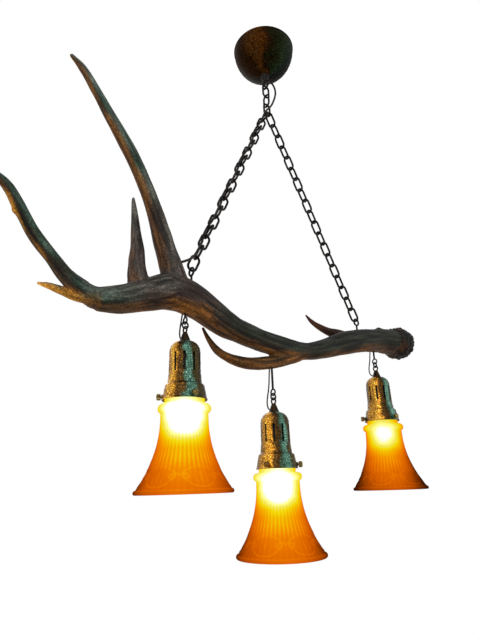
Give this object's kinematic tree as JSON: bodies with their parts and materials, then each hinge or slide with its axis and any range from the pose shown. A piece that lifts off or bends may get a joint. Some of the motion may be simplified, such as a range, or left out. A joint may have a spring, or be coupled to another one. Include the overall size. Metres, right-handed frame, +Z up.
{
  "type": "antler chandelier",
  "caption": "Hanging lamp: a level shed antler on chains below a domed ceiling canopy, carrying bell-shaded pendant lamps on rings.",
  "frame": {"origin": "centre of the canopy's rim in the plane of the ceiling, midway between the crossbar's screw holes", "axes": "+Z up out of the ceiling side, +X along the antler from its tips towards its burr, +Y to the back as pictured"},
  "size_m": [0.8542, 0.133, 0.9832],
  "materials": {
    "antler_resin": "satin",
    "dark_bronze": "satin",
    "plated_steel": "satin",
    "connector_plastic": "satin",
    "dark_iron": "satin",
    "supply_cord": "satin",
    "lamp_lead": "satin",
    "hammered_brass": "satin",
    "thumb_screw_brass": "satin",
    "socket_shell": "matte",
    "bulb_cap": "satin",
    "bulb_glass": "gloss",
    "amber_glass": "gloss"
  },
  "bodies": {
    "canopy": {"ceiling_canopy": "dark_bronze", "crossbar": "plated_steel", "canopy_nipple": "plated_steel", "nipple_locknut": "plated_steel", "canopy_loop": "dark_bronze", "wire_connectors": "connector_plastic"},
    "upper_link": {"top_link": "dark_iron"},
    "lower_link": {"second_link": "dark_iron"},
    "chains": {"joining_link": "dark_iron", "left_chain": "dark_iron", "right_chain": "dark_iron", "supply_cord_top": "supply_cord", "supply_cord_chain": "supply_cord", "supply_cord_tail": "supply_cord"},
    "antler": {"antler": "antler_resin", "left_top_eye": "dark_iron", "right_top_eye": "dark_iron", "left_lamp_eye": "dark_iron", "centre_lamp_eye": "dark_iron", "right_lamp_eye": "dark_iron"},
    "left_ring": {"left_hanger_ring": "dark_iron"},
    "left_lamp": {"left_socket_loop": "hammered_brass", "left_husk": "hammered_brass", "left_shade_fitter": "hammered_brass", "left_socket": "socket_shell", "left_bulb_base": "bulb_cap", "left_bulb_glass": "bulb_glass", "left_shade": "amber_glass", "left_lamp_lead": "lamp_lead"},
    "left_screw_1": {"left_thumb_screw_1": "thumb_screw_brass"},
    "left_screw_2": {"left_thumb_screw_2": "thumb_screw_brass"},
    "left_screw_3": {"left_thumb_screw_3": "thumb_screw_brass"},
    "centre_ring": {"centre_hanger_ring": "dark_iron"},
    "centre_lamp": {"centre_socket_loop": "hammered_brass", "centre_husk": "hammered_brass", "centre_shade_fitter": "hammered_brass", "centre_socket": "socket_shell", "centre_bulb_base": "bulb_cap", "centre_bulb_glass": "bulb_glass", "centre_shade": "amber_glass", "centre_lamp_lead": "lamp_lead"},
    "centre_screw_1": {"centre_thumb_screw_1": "thumb_screw_brass"},
    "centre_screw_2": {"centre_thumb_screw_2": "thumb_screw_brass"},
    "centre_screw_3": {"centre_thumb_screw_3": "thumb_screw_brass"},
    "right_ring": {"right_hanger_ring": "dark_iron"},
    "right_lamp": {"right_socket_loop": "hammered_brass", "right_husk": "hammered_brass", "right_shade_fitter": "hammered_brass", "right_socket": "socket_shell", "right_bulb_base": "bulb_cap", "right_bulb_glass": "bulb_glass", "right_shade": "amber_glass", "right_lamp_lead": "lamp_lead"},
    "right_screw_1": {"right_thumb_screw_1": "thumb_screw_brass"},
    "right_screw_2": {"right_thumb_screw_2": "thumb_screw_brass"},
    "right_screw_3": {"right_thumb_screw_3": "thumb_screw_brass"}
  },
  "joints": [
    {"name": "top_link_swing", "type": "hinge", "parent": "canopy", "child": "upper_link", "pos_m": [0, 0, -0.0995], "axis": [0, 1, 0], "range_deg": [-20, 20], "deforming": ["supply_cord_top"]},
    {"name": "second_link_swing", "type": "hinge", "parent": "upper_link", "child": "lower_link", "pos_m": [0, 0, -0.12305], "axis": [1, 0, 0], "range_deg": [-20, 20], "deforming": ["supply_cord_top"]},
    {"name": "chain_twist", "type": "hinge", "parent": "lower_link", "child": "chains", "pos_m": [0, 0, -0.14685], "axis": [0, 0, 1], "range_deg": [-15, 15], "deforming": ["supply_cord_top"]},
    {"name": "antler_roll", "type": "hinge", "parent": "chains", "child": "antler", "pos_m": [-0.181, 0, -0.5615], "axis": [0.9996, 0, -0.0286], "range_deg": [-15, 15], "deforming": ["supply_cord_tail"]},
    {"name": "left_ring_swing", "type": "hinge", "parent": "antler", "child": "left_ring", "pos_m": [-0.19, 0, -0.652], "axis": [0, 1, 0], "range_deg": [-12, 12], "deforming": ["left_lamp_lead"]},
    {"name": "left_lamp_swing", "type": "hinge", "parent": "left_ring", "child": "left_lamp", "pos_m": [-0.19, 0, -0.6591], "axis": [1, 0, 0], "range_deg": [-25, 25], "deforming": ["left_lamp_lead"]},
    {"name": "left_screw_1_slide", "type": "slide", "parent": "left_lamp", "child": "left_screw_1", "axis": [-0.7934, 0.6088, 0], "range_m": [0, 0.004]},
    {"name": "left_screw_2_slide", "type": "slide", "parent": "left_lamp", "child": "left_screw_2", "axis": [-0.1305, -0.9914, 0], "range_m": [0, 0.004]},
    {"name": "left_screw_3_slide", "type": "slide", "parent": "left_lamp", "child": "left_screw_3", "axis": [0.9239, 0.3827, 0], "range_m": [0, 0.004]},
    {"name": "centre_ring_swing", "type": "hinge", "parent": "antler", "child": "centre_ring", "pos_m": [-0.024, 0, -0.745], "axis": [0, 1, 0], "range_deg": [-12, 12], "deforming": ["centre_lamp_lead"]},
    {"name": "centre_lamp_swing", "type": "hinge", "parent": "centre_ring", "child": "centre_lamp", "pos_m": [-0.024, 0, -0.7521], "axis": [1, 0, 0], "range_deg": [-25, 25], "deforming": ["centre_lamp_lead"]},
    {"name": "centre_screw_1_slide", "type": "slide", "parent": "centre_lamp", "child": "centre_screw_1", "axis": [0.8192, -0.5736, 0], "range_m": [0, 0.004]},
    {"name": "centre_screw_2_slide", "type": "slide", "parent": "centre_lamp", "child": "centre_screw_2", "axis": [0.0872, 0.9962, 0], "range_m": [0, 0.004]},
    {"name": "centre_screw_3_slide", "type": "slide", "parent": "centre_lamp", "child": "centre_screw_3", "axis": [-0.9063, -0.4226, 0], "range_m": [0, 0.004]},
    {"name": "right_ring_swing", "type": "hinge", "parent": "antler", "child": "right_ring", "pos_m": [0.251, 0, -0.659], "axis": [0, 1, 0], "range_deg": [-12, 12], "deforming": ["right_lamp_lead"]},
    {"name": "right_lamp_swing", "type": "hinge", "parent": "right_ring", "child": "right_lamp", "pos_m": [0.251, 0, -0.6661], "axis": [1, 0, 0], "range_deg": [-25, 25], "deforming": ["right_lamp_lead"]},
    {"name": "right_screw_1_slide", "type": "slide", "parent": "right_lamp", "child": "right_screw_1", "axis": [-0.7934, 0.6088, 0], "range_m": [0, 0.004]},
    {"name": "right_screw_2_slide", "type": "slide", "parent": "right_lamp", "child": "right_screw_2", "axis": [-0.1305, -0.9914, 0], "range_m": [0, 0.004]},
    {"name": "right_screw_3_slide", "type": "slide", "parent": "right_lamp", "child": "right_screw_3", "axis": [0.9239, 0.3827, 0], "range_m": [0, 0.004]}
  ]
}
